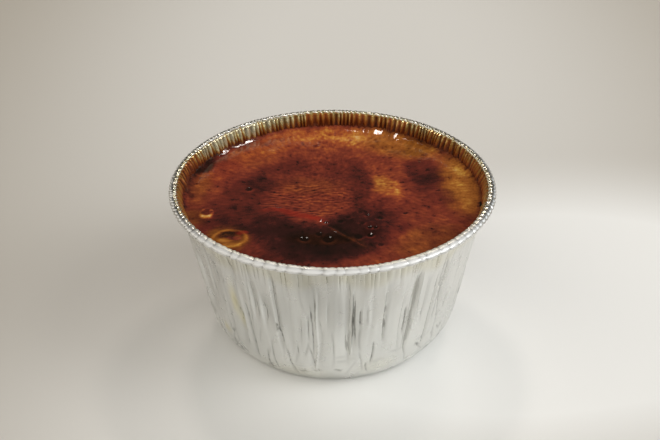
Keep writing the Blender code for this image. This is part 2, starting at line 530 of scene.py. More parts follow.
class Folds:
    """Where the foil is folded, drawn from the seed, the same for the wall, the rim and the creme's edge.

    A crimp is one of the fine pleats round the rim. Every few crimps one runs on down the wall as a soft
    pleat, and sharp creases of their own lie between. Columns are the upright lines of the mesh.
    """

    def __init__(self, settings):
        draw = random.Random(settings.seed)
        self.settings = settings
        count = settings.crimps
        widths = np.array([draw.uniform(*CRIMP_WIDTHS) for _ in range(count)])
        edges = np.concatenate([[0.0], np.cumsum(widths)]) / widths.sum() * FULL_TURN
        shares = np.array(CRIMP_COLUMNS)
        self.columns = count * len(shares)
        crimp = np.repeat(np.arange(count), len(shares))
        crimp_share = np.tile(shares, count)
        self.angle = edges[crimp] + crimp_share * np.diff(edges)[crimp]
        self.crimp_edge = np.abs(2 * crimp_share - 1)
        self.crimp_size = np.array([draw.uniform(*CRIMP_SIZES) for _ in range(count)])[crimp]
        self.crimp_lean = np.array([draw.uniform(*CRIMP_LEANS) for _ in range(count)])[crimp]
        self.draw_pillows(draw, edges)
        self.draw_pleats(draw, edges)
        self.creases = [self.draw_crease(draw) for _ in range(settings.creases)]
        self.creases += [self.front_crease(draw, *crease) for crease in FRONT_CREASES]
        self.ripples = [
            (
                draw.randint(*RIPPLE_NUMBERS),
                draw.uniform(0, FULL_TURN),
                draw.uniform(*RIPPLE_DRIFT) / MM,
                draw.uniform(*RIPPLE_AMOUNT),
                draw.randint(*RIPPLE_GATES),
                draw.uniform(0, FULL_TURN),
            )
            for _ in range(RIPPLES)
        ]

    def group(self, draw, edges, end, sizes):
        """Groups neighbouring crimps, as many each time as is drawn from the sizes.

        Returns how many groups there are, and for each column its group, its share of the way across the
        group, and the group's width as an angle.
        """
        starts = []
        place = 0
        while place < end:
            starts.append(place)
            place += draw.choice(sizes)
        first = edges[starts]
        group = np.searchsorted(first, self.angle, side="right") - 1
        width = np.diff(np.append(first, FULL_TURN))[group]
        return len(starts), group, (self.angle - first[group]) / width, width

    def draw_pillows(self, draw, edges):
        """The rim is pressed more coarsely than the wall: one of its pillows covers two or three crimps."""
        number, pillow, share, _ = self.group(draw, edges, self.settings.crimps, PILLOW_CRIMPS)
        self.pillow_edge = np.abs(2 * share - 1)
        self.pillow_size = np.array([draw.uniform(*PILLOW_SIZES) for _ in range(number)])[pillow]

    def draw_pleats(self, draw, edges):
        """Picks the crimps that run on down the wall as soft pleats, and how deep and far each one goes."""
        number, self.pleat, self.pleat_share, self.pleat_width = self.group(
            draw, edges, self.settings.crimps - 2, PLEAT_CRIMPS
        )
        self.pleat_size = np.array([draw.uniform(*PLEAT_SIZES) for _ in range(number)])
        peaks = [draw.choice([draw.uniform(*peak) for peak in PLEAT_PEAKS]) for _ in range(number)]
        self.pleat_peak = np.array(peaks)
        self.pleat_low = np.array([draw.uniform(*PLEAT_LOW) for _ in range(number)]) * MM
        self.pleat_high = np.array([draw.uniform(*PLEAT_HIGH) for _ in range(number)]) * MM

    def draw_crease(self, draw):
        """One sharp crease: angle, middle height, length, lean, bend, depth, half width, step across it.

        Creases low on the wall are short and lean either way. The others are long and almost upright.
        """
        middles, lengths, spread = LOW_CREASE if draw.random() < LOW_CREASES else HIGH_CREASE
        middle, length, lean = draw.uniform(*middles), draw.uniform(*lengths), draw.gauss(0, spread)
        size = draw.uniform(0.25, 1.0) ** 1.6
        angle = draw.uniform(0, FULL_TURN)
        return self.bend_crease(draw, angle, middle * MM, length * MM, lean, size, *FREE_BEND)

    def front_crease(self, draw, degrees, low, high, lean, size):
        """One of the creases that stand out at the front, in the same terms."""
        middle = (low + high) / 2 * MM
        length = (high - low) * MM
        return self.bend_crease(draw, math.radians(degrees), middle, length, lean, size, *FRONT_BEND)

    def bend_crease(self, draw, angle, middle, length, lean, size, bend, widths):
        """Draws what is left open of a crease: its bend, half width and step."""
        bent = draw.gauss(0, bend) * MM
        return angle, middle, length, lean, bent, size, draw.uniform(*widths) * MM, draw.uniform(-1, 1)

    def turned(self, height):
        """Each column's angle at a height: it drifts on its way down, so that the pleats lean and wave."""
        return self.angle + (CUP_HEIGHT - height) / CUP_HEIGHT * waves(WANDER, self.angle, height)

    def across(self, height, angle):
        """Distance round the wall from an angle to each column, at a height."""
        return turn_from(angle, self.turned(height)) * wall_radius(height)

    def pleat_depth(self, height):
        """Pleats that swell slowly on one side and drop back at once on the other, as folded foil does."""
        into = rise(height, self.pleat_high + PLEAT_HEAD, -PLEAT_FADE)
        out = rise(height, self.pleat_low, PLEAT_FADE)
        wide = np.minimum(1.0, self.pleat_width * RIM_RADIUS / PLEAT_FULL_WIDTH)
        strength = (self.pleat_size * into * out)[self.pleat] * wide
        share, peak = self.pleat_share, self.pleat_peak[self.pleat]
        swell = np.where(share < peak, share / peak, (1 - share) / (1 - peak))
        shape = PLEAT_ROUNDING * smooth(swell) + (1 - PLEAT_ROUNDING) * swell
        return self.settings.pleat_depth * strength * shape

    def ripple_depth(self, height):
        """Fine upright ripples that drift and change down the wall, and fade at its foot and its top."""
        total = np.zeros(self.columns)
        for number, phase, drift, amount, gates, gate_phase in self.ripples:
            gate = 0.5 + 0.5 * np.sin(gates * self.angle + gate_phase + 300 * height)
            total += amount * gate * np.sin(number * self.angle + phase + drift * height)
        fade = rise(height, *RIPPLES_START) * (1 - 0.5 * rise(height, *RIPPLES_END))
        return self.settings.ripple_depth * fade * (total / 5 + 1)

    def crease_depth(self, height):
        """Depth and painted shade of the sharp creases, each a narrow groove with a small step across it."""
        depth = np.zeros(self.columns)
        # dark is the painted shade that falls in each groove
        dark = np.zeros(self.columns)
        for angle, middle, length, lean, bend, size, width, step in self.creases:
            along = (height - middle) / (length / 2)
            if abs(along) >= 1:
                continue
            off = self.across(height, angle) - lean * (height - middle) - bend * along * along
            fade = smooth((1 - abs(along)) * 1.8)
            groove = size * fade * bell(off / width)
            depth += self.settings.crease_depth * groove
            step_share = np.sign(off) * np.exp(-np.abs(off) / CREASE_STEP_REACH)
            depth += CREASE_STEP * fade * size * step * step_share
            dark = np.maximum(dark, groove)
        for degrees, middle_mm, half_mm, size in LEVEL_CREASES:
            off = self.across(height, math.radians(degrees)) / (half_mm * MM)
            up = height / MM - middle_mm - 0.5 * off**2 + 0.25 * np.sin(4 * off + degrees)
            groove = size * bell(up / 0.38) * smooth(1.5 * (1 - np.abs(off)))
            depth += 0.8 * self.settings.crease_depth * groove
            dark = np.maximum(dark, groove)
        return depth + CREASE_ROOM, dark

    def hollow(self, depth):
        """How far each column lies in a narrow hollow, from 0 to 1: its depth against its neighbours'."""
        near = np.convolve(np.concatenate([depth[-6:], depth, depth[:6]]), np.full(13, 1 / 13), "valid")
        return np.clip((depth - near) / (0.2 * MM), 0, 1)

    def foot_wrinkles(self, height):
        """Fine level wrinkles where the wall turns in to the base."""
        a = self.angle
        wave = np.sin(height / MM * 5.2 + waves(WRINKLE_BENDS, a))
        gate = smooth(0.55 + 0.8 * np.sin(6 * a + 0.5) * np.sin(17 * a + 2.0))
        return bell((height - WRINKLE_MIDDLE) / WRINKLE_REACH) * gate * (1 + wave) / 2

    def fold(self, height):
        """How far in from the wall's outer radius each column stands at a height, and its painted shade."""
        near_rim = rise(height, *OUTER_CRIMPS) * (1 - 0.5 * rise(height, *OUTER_CRIMPS_END))
        depth = self.settings.crimp_depth * near_rim * self.crimp_edge**1.8 * self.crimp_size
        creases, dark = self.crease_depth(height)
        wrinkles = self.foot_wrinkles(height)
        depth += creases + self.pleat_depth(height) + self.ripple_depth(height)
        # Painted shade in the hollows, the foot's wrinkles, the band under the rim and the patches at the
        # front
        dark = np.maximum(dark, HOLLOW_DARK * self.hollow(depth))
        dark = np.maximum(dark, WRINKLE_DARK * wrinkles**2) + UNDER_RIM_DARK * self.under_rim(height)
        dents = DENT_DEPTH * (waves(DENTS, self.angle, height) + 1.5)
        return depth + dents + WRINKLE_DEPTH * wrinkles, dark + self.front_shade(height)

    def under_rim(self, height):
        """Band under the rim, blotched at the pleats' heads, that gets painted shade and a trace of sugar."""
        a = self.turned(height)
        blotch = 0.55 + 0.25 * np.sin(23 * a + 1.0) * np.sin(9 * a) + 0.2 * np.sin(51 * a + 2.0)
        return rise(height + waves(BAND_WAVES, a), BAND_EDGE, BAND_FADE) * (0.5 + blotch)

    def front_shade(self, height):
        """Painted shade at the middle of the front, in patches as wide as a pleat."""
        off = self.across(height, FRONT_SHADE_MIDDLE) / MM
        wave = np.sin(0.9 * off + 1.7 * np.sin(0.16 * height / MM)) + np.sin(0.37 * off + height / (4 * MM))
        broad = bell(off / FRONT_SHADE_REACH) * (0.45 + 0.55 * rise(height, *FRONT_SHADE_RISE))
        return np.clip(broad * (0.34 + 0.13 * wave), 0, 1)

    def outer_film(self, height):
        """How much sugar is on the outside: a trace under the rim and a few splashes."""
        film = BAND_FILM * self.under_rim(height)
        for degrees, middle, half_width, half_height, amount in OUTER_SPLASHES:
            away = (self.across(height, math.radians(degrees)) / (half_width * MM)) ** 2
            film = film + amount * np.exp(-(away + ((height / MM - middle) / half_height) ** 2))
        return film

    def inner_depth(self, height):
        """The same inside the wall, whose fine pleats stand out more between the creme and the rim."""
        band = rise(height, *INNER_CRIMPS) * (1 - 0.7 * rise(height, *INNER_CRIMPS_END))
        ridge = self.crimp_edge**1.5 * self.crimp_size
        return self.fold(height)[0] + self.settings.thickness + INNER_CRIMP_DEPTH * band * ridge

    def inner_lines(self):
        """How much painted shade the hollows between the fine pleats of the inside get."""
        return smooth(1.6 * (1 - self.crimp_edge) - 0.4) * smooth(2.1 - 2.2 * self.crimp_size)

    def column_at(self, angle):
        """The column that an evenly turned angle stands for."""
        return np.round(angle / FULL_TURN * self.columns).astype(int) % self.columns


# ---------------------------------------------------------------- foil cup

# Heights in mm of the rings down the inside, the lip over them, and how far the lip draws in
INNER_ROWS = (
    *(42.1, 41.8, 41.6, 41.2, 40.8, 40.4, 40.0, 39.6, 39.2, 38.8, 38.2),
    *(37.0, 33.0, 26.0, 17.0, 9.0, 4.5, 1.6),
)
LIP_HEIGHT = 42.35 * MM
LIP_INSET = 0.1 * MM
OUTER_TOP = 41.9 * MM

# The stretch of the inside that stayed clean, at the left of the back, and a browner one beside it: middle
# and half widths as angles
CLEAN_MIDDLE = math.radians(136)
CLEAN_SPREADS = (math.radians(27), math.radians(22))
BROWNER_MIDDLE = math.radians(172)
BROWNER_SPREAD = 0.3

BROWNER_FILM = 0.25

# Sugar on the inside, first where it is thick and second on the clean stretch: how much there is, how much
# more the hollows hold than the ridges, how much more one pleat holds than another, and how much more there
# is at the creme. Then how much it thins towards the rim, its waves round the cup, and its least and most
FILM_AMOUNT = (0.84, 0.24)
FILM_HOLLOWS = (0.44, 0.64)
FILM_PLEATS = (0.34, 1.14)
FILM_AT_CREME = (0.46, 0.86)
FILM_THINNING = 0.24
FILM_WAVES = ((0.06, 5, 0, 0.4), (0.06, 11, 0, 1.0))
FILM_RANGE = (0.2, 1.0)
LIP_FILM = 0.6

# How much painted shade the inner hollows get on those two, and how pale the clean stretch is
INNER_DARK = (1.9, 1.5)
CLEAN_PALE = 0.4

# The rim's pillows: how far from the middle of the front they reach, and over how wide an angle they give way
# to crimps. How deep crimps and pillows are as shares of the rim's girth, how far the lines between them run
# askew, and how much painted shade those lines get
PILLOWS_REACH = 1.25
PILLOWS_FADE = 0.5
RIM_DEPTH = (0.40, 0.22)
RIM_SKEW = 0.45 * MM
RIM_LEAN = 0.4 * MM
RIM_LINES = (1.4, 0.75)

# The rim's girth and its waves, and the sugar that its crimps and its pillows hold
GIRTH = 0.96
GIRTH_WAVES = ((0.02, 4, 0, 1.0), (0.02, 9, 0, 2.0))
CRIMP_FILM = (0.10, 0.90)
PILLOW_FILM = 0.12


def wall_rows():
    """(radius, height, side) of each ring: out over the base, up the outside and down the inside."""
    rows = [(share * BASE_RADIUS, 0.0, "base") for share in (0.35, 0.7, 0.9)]
    for turn in (-90, -60, -30):
        radius = BASE_RADIUS - BASE_ROUNDING * (1 - math.cos(math.radians(turn)))
        rows.append((radius, BASE_ROUNDING * (1 + math.sin(math.radians(turn))) * 0.5, "base"))
    foot = np.linspace(0.6 * MM, FOOT_HEIGHT, 19)
    wall = np.linspace(FOOT_HEIGHT, OUTER_TOP, 43)[1:]
    rows += [(float(wall_radius(z)), float(z), "outer") for z in (*foot, *wall)]
    rows.append((float(wall_radius(LIP_HEIGHT)) - LIP_INSET, LIP_HEIGHT, "lip"))
    rows += [(float(wall_radius(z * MM)), z * MM, "inner") for z in INNER_ROWS]
    return rows + [(share * BASE_RADIUS, 0.35 * MM, "floor") for share in (0.9, 0.5)]


def fold_wall(obj, rows, folds):
    """Moves every point of the turned wall to its place in the folded foil."""
    places, radius, angle = round_places(obj)
    column = folds.column_at(angle)
    profile = np.array([(r, z) for r, z, _ in rows])
    gap = (radius[:, None] - profile[None, :, 0]) ** 2 + (places[:, 2, None] - profile[None, :, 1]) ** 2
    row = gap.argmin(1)
    film, crease, pale = np.zeros((3, len(places)))
    for number, (ring_radius, height, side) in enumerate(rows):
        chosen = np.flatnonzero((row == number) & (radius > 0.1 * MM))
        at = column[chosen]
        turned = folds.turned(height)
        depth = np.zeros(folds.columns)
        if side == "inner":
            depth = folds.inner_depth(height)
            if height < LEVEL - 2 * MM:
                depth[:] = CLEAR_OF_FOLDS - folds.settings.thickness
            clean = clean_foil(turned)
            film[chosen] = sugar_film(height, folds)[at]
            # The crease attribute holds painted shade in the hollows between the inner pleats
            crease[chosen] = (mix(INNER_DARK, clean) * folds.inner_lines())[at]
            pale[chosen] = CLEAN_PALE * clean[at]
        elif side in ("outer", "lip"):
            depth, dark = folds.fold(height)
            # The crease attribute holds the outside's painted shade in creases, hollows and wrinkles
            crease[chosen] = dark[at]
            film[chosen] = folds.outer_film(height)[at]
        if side == "lip":
            depth = 0.2 * depth
            film[chosen] = LIP_FILM * sugar_film(height, folds)[at]
        reach = ring_radius - depth[at]
        places[chosen, 0] = reach * np.cos(turned[at])
        places[chosen, 1] = reach * np.sin(turned[at])
    place_all(obj, places)
    paint(obj, "film", film)
    paint(obj, "crease", crease)
    paint(obj, "pale", pale)


def clean_foil(angle):
    """How clean the foil's inside is round the cup."""
    off = turn_from(CLEAN_MIDDLE, angle)
    return bell(off / np.where(off < 0, *CLEAN_SPREADS))


def sugar_film(height, folds):
    """How much burnt sugar coats the inside at a height.

    It covers all of the foil at the creme and thins out towards the rim, and the hollows between the fine
    pleats hold more than their ridges. The clean stretch holds less, and is more uneven.
    """
    low = LEVEL + CLIMB
    up = np.clip((height - low) / (CUP_HEIGHT - CURL_HEIGHT - low), 0, 1)
    angle = folds.turned(height)
    clean = clean_foil(angle)
    film = mix(FILM_AMOUNT, clean) + BROWNER_FILM * bell(turn_from(BROWNER_MIDDLE, angle) / BROWNER_SPREAD)
    film = film + mix(FILM_HOLLOWS, clean) * (0.5 - folds.crimp_edge**1.2)
    film = film + mix(FILM_PLEATS, clean) * (folds.crimp_size - MEAN_CRIMP_SIZE)
    film = film + mix(FILM_AT_CREME, clean) * (1 - up) ** 2 - FILM_THINNING * up
    return np.clip(film + waves(FILM_WAVES, angle), *FILM_RANGE)


def make_wall(settings):
    """The cup's wall and base: its section turned in one stack of rings and then folded."""
    folds = Folds(settings)
    rows = wall_rows()
    obj = ring_stack("foil_wall", [(radius, height) for radius, height, _ in rows], folds.columns)
    fold_wall(obj, rows, folds)
    bpy.ops.object.shade_smooth_by_angle(angle=math.radians(38))
    return obj


def curl_place(out, up):
    """Radius and height of a place in the rolled rim, from its shares across and up the drooping section."""
    across, above = CURL_WIDTH / 2 * out, CURL_HEIGHT / 2 * up
    radius = CURL_RADIUS + across * math.cos(CURL_DROOP) + above * math.sin(CURL_DROOP)
    return radius, CURL_CENTRE - across * math.sin(CURL_DROOP) + above * math.cos(CURL_DROOP)


def curl_shares(radius, height):
    """The same the other way: a place's shares across and up the section."""
    across, above = radius - CURL_RADIUS, height - CURL_CENTRE
    out = across * math.cos(CURL_DROOP) - above * math.sin(CURL_DROOP)
    up = across * math.sin(CURL_DROOP) + above * math.cos(CURL_DROOP)
    return out / (CURL_WIDTH / 2), up / (CURL_HEIGHT / 2)


def crimp_rim(obj, folds):
    """Presses the crimps into the turned rim: each one a round pillow between two sharp lines that run askew.

    The pillows are wide and pale at the front, and narrow and bright at the sides and the back.
    """
    places, radius, angle = round_places(obj)
    column = folds.column_at(angle)
    out, up = curl_shares(radius, places[:, 2])
    fine = (folds.crimp_edge**1.6 * (0.35 + 0.65 * folds.crimp_size))[column]
    wide = (folds.pillow_edge**2.4 * folds.pillow_size)[column]
    slow = folds.angle[column]
    front = rise(np.abs(turn_from(-math.pi / 2, slow)), PILLOWS_REACH, -PILLOWS_FADE)
    wide_share = smooth(1.25 + 0.9 * out) * front
    pinch = mix((fine, wide), wide_share)
    size = GIRTH - waves(GIRTH_WAVES, slow) - mix(RIM_DEPTH, front) * pinch
    askew = RIM_SKEW * up + RIM_LEAN * folds.crimp_lean[column] * out
    turned = folds.turned(CUP_HEIGHT)[column] + askew / RIM_RADIUS
    reach, height = curl_place(out * size, up * size)
    place_all(obj, np.stack([reach * np.cos(turned), reach * np.sin(turned), height], axis=1))

    film = sugar_film(CUP_HEIGHT - CURL_HEIGHT, folds)[column] * smooth(0.05 - 1.5 * out)
    held = np.maximum(mix(CRIMP_FILM, fine**2) * (1 - front), PILLOW_FILM * front)
    # Painted shade in the lines between the crimps and in the gaps on the curl's inner side
    gaps = 1.2 * (1 - 0.8 * front) * fine**2 * smooth(0.35 - 1.4 * out)
    lines = mix((RIM_LINES[0] * pinch**2, RIM_LINES[1] * pinch**1.4), front)
    paint(obj, "film", film * held)
    paint(obj, "crease", np.maximum(lines, gaps))
    paint(obj, "pale", front * (1 - 0.7 * pinch))


def make_rim(settings):
    """The rolled rim: a closed ring of its drooping section, then crimped."""
    folds = Folds(settings)
    turns = [FULL_TURN * side / CURL_SIDES for side in range(CURL_SIDES)]
    section = [curl_place(math.cos(turn), math.sin(turn)) for turn in turns]
    obj = ring_loop("rolled_rim", section, folds.columns)
    crimp_rim(obj, folds)
    bpy.ops.object.shade_smooth_by_angle(angle=math.radians(45))
    return obj


# ---------------------------------------------------------------- creme

# Long, low swells of the top: height in mm, wave length in mm, heading in degrees
SWELLS = ((0.16, 41.0, 25), (0.11, 26.0, -50), (0.08, 17.0, 80))

# Small swells besides: how many, and height for each mm of length. The height of the wrinkled skin's
# ripples in mm
SMALL_SWELLS = 14
SMALL_SWELL_STEEPNESS = 0.0022
RIPPLE_HEIGHT = 0.035

# Small bubbles at the top: x, y, radius and depth in mm, below zero where the bubble still stands
BUBBLES = (
    (-7.1, -20.4, 1.3, 0.20),
    (-1.1, -20.3, 1.6, 0.15),
    (3.8, -20.8, 1.1, 0.03),
    (9.4, -15.3, 0.8, 0.17),
    (10.7, -15.4, 0.8, 0.17),
    (9.4, -18.8, 1.0, 0.15),
    (12.0, -10.6, 1.1, 0.11),
    (8.9, -9.4, 0.8, 0.08),
    (7.2, -8.0, 0.7, 0.07),
    (4.0, -10.2, 0.8, 0.08),
    (1.9, -12.1, 1.0, 0.10),
    (7.5, -13.1, 0.9, 0.09),
    (6.3, -19.2, 1.3, 0.12),
    (11.8, -23.1, 0.9, 0.09),
    (-3.4, -17.9, 1.0, 0.10),
    (-2.8, -12.0, 0.70, -0.24),
    (-1.7, -12.9, 0.75, -0.26),
    (-22.0, 4.2, 1.1, 0.14),
    (-4.7, 12.0, 1.0, -0.10),
    (-4.5, 27.9, 1.2, -0.12),
    (16.0, 23.2, 0.8, 0.08),
    (24.0, 19.2, 0.6, 0.07),
    (20.5, 10.6, 0.6, 0.06),
    (18.5, -8.4, 0.8, 0.08),
    (24.5, -13.0, 0.7, 0.07),
    (-18.0, 22.2, 0.6, 0.06),
    (28.0, -1.9, 0.7, 0.07),
    (-30.9, -7.6, 0.5, -0.10),
)

# How strongly bubbles and folds change the skin's colour with painted light (painted shade and painted
# reflection in bubbles, a painted highlight along folds), and the depth and height in mm that do it in full
BUBBLE_PAINTED_LIGHT = 2.4
FOLD_PAINTED_HIGHLIGHT = 2.3
DEEP_BUBBLE = 0.15
DEEP_FOLD = 0.12

# Burst blisters: x and y in mm, ring radius in mm, ring height in mm, crater depth as a share of the large
# one's
BLISTERS = ((-25.6, -20.1, 3.9, 0.10, 1.0), (-32.3, -8.1, 1.5, 0.06, 0.7))

# Folds in the sugar skin: from and to, in mm, width and height in mm
SKIN_FOLDS = (
    (-2.2, -13.8, 8.2, -24.2, 0.42, 0.12),
    (-14.0, -10.0, -3.0, -12.2, 0.30, 0.04),
)

# The patch where the skin wrinkled as it slid: its middle and half widths in mm
WRINKLED = (-6.3, -1.8, 12.6, 9.8)

# How far the creme's edge runs into the foil, and how narrow the band is where it follows the foil's folds.
# How much wider the mesh's cells are in the middle. Where the relief ends, and how far it takes to start
EDGE_OVERLAP = 0.1 * MM
EDGE_SHARPNESS = 14
MIDDLE_WIDENING = 0.22
RELIEF_END = 2.4 * MM
RELIEF_FADE = 5.5 * MM

# Where the sugar at the foil is burnt further in: the middle and half width as angles
BURNT_MIDDLE = math.radians(155)
BURNT_SPREAD = 0.35


def line_distance(x, y, x0, y0, x1, y1):
    """Distance from each place to a straight line between two points, and its share of the way along it."""
    dx, dy = x1 - x0, y1 - y0
    along = np.clip(((x - x0) * dx + (y - y0) * dy) / (dx * dx + dy * dy), 0, 1)
    return np.hypot(x - x0 - along * dx, y - y0 - along * dy), along


def skin_ripples(x, y):
    """Fine, almost level ripples of the wrinkled patch, from -1 in a trough to 1 on a crest."""
    across, away, half_width, half_depth = WRINKLED
    inside = smooth(3.0 - 2.6 * np.hypot((x - across) / half_width, (y - away) / half_depth))
    draw = random.Random(9)
    wave = np.zeros_like(x)
    for _ in range(7):
        length, lean, phase = draw.uniform(1.0, 2.1), draw.gauss(-0.05, 0.2), draw.uniform(0, FULL_TURN)
        bend = 1.5 * np.sin(0.5 * x + 0.2 * y + phase) + 1.1 * np.sin(1.15 * x - 0.7 * y + 2 * phase)
        patchy = np.sin(0.62 * x + 0.45 * y + 5 * phase) * np.sin(0.55 * y - 0.3 * x + 3 * phase)
        gate = np.clip(0.2 + patchy, 0, 1)
        wave += 2.0 * gate * np.sin(FULL_TURN * (y + lean * x) / length + phase + bend)
    return inside * np.clip(wave / 2.2, -1, 1)


def skin_folds(x, y):
    """Each fold of the sugar skin: its height in mm and how much of it each place has."""
    for x0, y0, x1, y1, width, height in SKIN_FOLDS:
        away, along = line_distance(x, y, x0, y0, x1, y1)
        yield height, bell(away / width) * np.sin(math.pi * np.clip(along, 0.03, 0.97)) ** 0.5


def skin_painted_light(x, y):
    """How the small forms put painted light into the skin's colour, above zero where it is paler.

    A bubble gets painted shade inside and a painted reflection at its near edge, a fold of the skin a painted
    highlight along its crest, and each ripple a painted sheen on its crest.
    """
    painted_sheen_shade = skin_ripples(x, y)
    for bx, by, radius, depth in BUBBLES:
        away = np.hypot(x - bx, y - by) / radius
        size = min(1.0, abs(depth) / DEEP_BUBBLE)
        near = smooth(0.35 - 1.1 * (y - by) / (radius * np.maximum(away, 0.3)))
        painted_sheen_shade += BUBBLE_PAINTED_LIGHT * size * (0.65 * near * bell((away - 1.1) / 0.38) - np.exp(-((away / 0.75) ** 4)))
    for height, share in skin_folds(x, y):
        painted_sheen_shade += FOLD_PAINTED_HIGHLIGHT * height / DEEP_FOLD * share
    return painted_sheen_shade


def relief(x, y, blister_depth):
    """Height in mm of the creme's top over its level at each place, in mm."""
    lift = np.zeros_like(x)
    draw = random.Random(5)
    swells = [(height, length, math.radians(heading), 0.0) for height, length, heading in SWELLS]
    for _ in range(SMALL_SWELLS):
        length, turn, phase = draw.uniform(4, 12), draw.uniform(0, math.pi), draw.uniform(0, FULL_TURN)
        swells.append((SMALL_SWELL_STEEPNESS * length, length, turn, phase))
    for height, length, turn, phase in swells:
        lift += height * np.sin(FULL_TURN * (x * math.cos(turn) + y * math.sin(turn)) / length + phase)
    lift += RIPPLE_HEIGHT * skin_ripples(x, y)
    for bx, by, radius, depth in BUBBLES:
        away = np.hypot(x - bx, y - by) / radius
        lift += 0.15 * abs(depth) * bell((away - 1.15) / 0.25) - depth * np.clip(1 - away**2, 0, None) ** 1.5
    for bx, by, radius, height, crater in BLISTERS:
        away = np.hypot(x - bx, y - by) / radius
        lift += height * bell((away - 1) / 0.28) - crater * blister_depth * smooth((1 - away) * 1.6)
    for height, share in skin_folds(x, y):
        lift += height * share
    return lift


# The edge that climbs the foil: its slope, how far in from the foil it starts and how softly it starts
CLIMB_SLOPE = 0.40
CLIMB_START = 1.6 * MM
CLIMB_SOFTNESS = 0.3 * MM
CLIMB_RAGGED = ((0.08, 5, 0, 0.4), (0.07, 13, 0, 2.0), (0.035, 37, 0, 0))

# Where the edge starts further in: angle and half width in degrees, how much further in mm. Then how much
# less steep it is there and how much softer, for each mm
WIDE_CLIMBS = ((69.2, 4.0, 1.8), (61.6, 2.4, 1.7), (75.5, 1.3, 0.6), (79.5, 1.0, 0.5))
WIDE_FLATTER = 0.05
WIDE_SOFTER = 0.3


def climb_at(to_wall, angle):
    """How high the creme has climbed at a distance from the foil: a straight ramp with a rounded start."""
    extra = np.zeros_like(angle)
    for degrees, spread, wider in WIDE_CLIMBS:
        off = np.degrees(turn_from(math.radians(degrees), angle)) / spread
        extra = np.maximum(extra, wider * MM * np.exp(-(off**4)))
    up = CLIMB_START * (1 + waves(CLIMB_RAGGED, angle)) + extra - to_wall
    slope = CLIMB_SLOPE - WIDE_FLATTER * extra / MM
    return slope * (up + np.sqrt(up**2 + (CLIMB_SOFTNESS + WIDE_SOFTER * extra) ** 2)) / 2


def inner_edge(angle, folds):
    """Inner radius of the foil round the creme's edge: as folded, and without the narrow folds."""
    height = LEVEL + 0.8 * CLIMB
    turned = folds.turned(height)
    reach = wall_radius(height) - folds.inner_depth(height)
    order = np.argsort(turned)
    folded = np.interp(angle % FULL_TURN, turned[order], reach[order], period=FULL_TURN)
    wide = np.concatenate([reach[-30:], reach, reach[:30]])
    even = np.convolve(wide, np.hanning(61) / np.hanning(61).sum(), "valid")
    return folded, np.interp(angle % FULL_TURN, turned[order], even[order], period=FULL_TURN)


def round_off(across, away):
    """Maps a square of -1 to 1 onto the unit disc, keeping the cells alike, as radius share and angle."""
    steep = np.abs(away) > np.abs(across)
    main = np.where(steep, away, across)
    other = np.where(steep, across, away)
    turn = np.divide(other, main, out=np.zeros_like(main), where=main != 0) * math.pi / 4
    angle = np.where(steep, math.pi / 2 - turn, turn)
    return np.abs(main), np.where(main < 0, angle + math.pi, angle)


def shape_top(obj, settings, folds):
    """Turns the flat grid into the creme's round top, with its relief and the edge that climbs the foil."""
    places = places_of(obj)
    share, angle = round_off(places[:, 0] / RIM_RADIUS, places[:, 1] / RIM_RADIUS)
    share = share * (1 + MIDDLE_WIDENING * (1 - share))
    folded, even = inner_edge(angle, folds)
    mean = even.mean()
    reach = share * mean + (folded + EDGE_OVERLAP - mean) * share**EDGE_SHARPNESS
    x, y = reach * np.cos(angle), reach * np.sin(angle)
    to_wall = even - reach
    lift = relief(x / MM, y / MM, settings.blister_depth / MM) * MM * rise(to_wall, RELIEF_END, RELIEF_FADE)
    place_all(obj, np.stack([x, y, LEVEL + lift + climb_at(to_wall, angle)], axis=1))
    burnt = bell(turn_from(BURNT_MIDDLE, angle) / BURNT_SPREAD)
    corner = bell(np.clip(to_wall, 0, None) / ((1.0 + 0.9 * burnt) * MM)) * (0.7 + 0.3 * burnt)
    paint(obj, "corner", corner)
    # Painted sheen, highlight, reflection and shade of the skin's ripples, bubbles and folds
    paint(obj, "painted_sheen_shade", skin_painted_light(x / MM, y / MM))


def shape_body(obj, top_points):
    """Draws the hidden side in to a smooth taper that stays clear of the deepest folds, and levels its floor.

    The points of the side follow those of the top, one ring after the other.
    """
    places = places_of(obj)
    side = np.arange(top_points, len(places))
    ring = (side - top_points) * len(BODY_HEIGHTS) // len(side)
    height = np.array(BODY_HEIGHTS)[ring]
    reach = np.hypot(places[side, 0], places[side, 1])
    target = np.where(ring == 0, 0.985 * reach, wall_radius(height) - CLEAR_OF_FOLDS)
    places[side, :2] *= (target / reach)[:, None]
    places[side, 2] = height
    place_all(obj, places)


def make_creme(settings, foil):
    """The creme: a grid made round for the top, and rings extruded from its edge for the hidden side."""
    folds = Folds(foil)
    start_clean()
    bpy.ops.mesh.primitive_grid_add(
        x_subdivisions=settings.cells,
        y_subdivisions=settings.cells,
        size=2 * RIM_RADIUS,
        location=(0.0, 0.0, 0.0),
    )
    obj = settle("creme_body")
    shape_top(obj, settings, folds)
    top_points = len(obj.data.vertices)
    edit_border()
    down = LEVEL
    for next_height in BODY_HEIGHTS:
        drop = (0.0, 0.0, next_height - down)
        bpy.ops.mesh.extrude_region_move(TRANSFORM_OT_translate={"value": drop})
        down = next_height
    bpy.ops.mesh.edge_face_add()
    finish_skin()
    shape_body(obj, top_points)
    bpy.ops.object.shade_smooth_by_angle(angle=math.radians(60))
    return obj


# ---------------------------------------------------------------- materials


def plug(node, inputs):
    """Gives each named input of a node a value, or a link from a socket."""
    for name, value in inputs.items():
        if isinstance(value, bpy.types.NodeSocket):
            node.id_data.links.new(value, node.inputs[name])
        else:
            node.inputs[name].default_value = value


